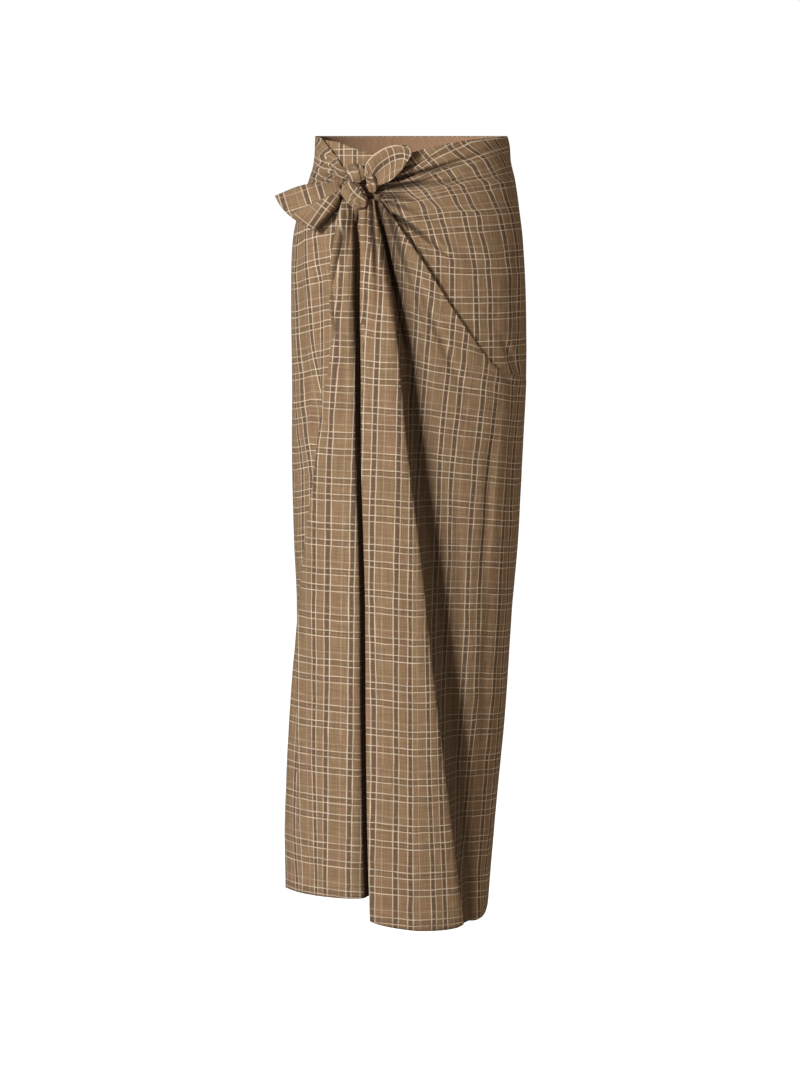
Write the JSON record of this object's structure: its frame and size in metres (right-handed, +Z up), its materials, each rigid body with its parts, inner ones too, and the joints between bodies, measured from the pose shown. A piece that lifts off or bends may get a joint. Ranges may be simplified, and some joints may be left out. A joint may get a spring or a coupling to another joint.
{
  "type": "asymmetric skirt",
  "caption": "Ankle-length wrap skirt with a tied front knot, a slanting drape, a standing centre pleat and a stepped hem, open at waist and hem.",
  "frame": {"origin": "middle of the waist opening, level with the top edge of the back, where the wearer's waist holds the skirt", "axes": "+Z up along the skirt, front towards -Y, +X to the right seen from the front"},
  "size_m": [0.3433, 0.2703, 1.073],
  "materials": {
    "check_cloth": "matt woven cotton in a cream, dark and brown check",
    "facing_cloth": "plain matt brown cotton"
  },
  "bodies": {
    "root": {"back_panel": "check_cloth", "back_facing": "facing_cloth", "under_front": "check_cloth", "left_wrap": "check_cloth", "hip_wrap": "check_cloth", "front_drape": "check_cloth", "left_tail": "check_cloth", "right_tail": "check_cloth", "knot_loop": "check_cloth", "knot_strap": "check_cloth", "knot_tuck": "check_cloth"}
  },
  "joints": []
}
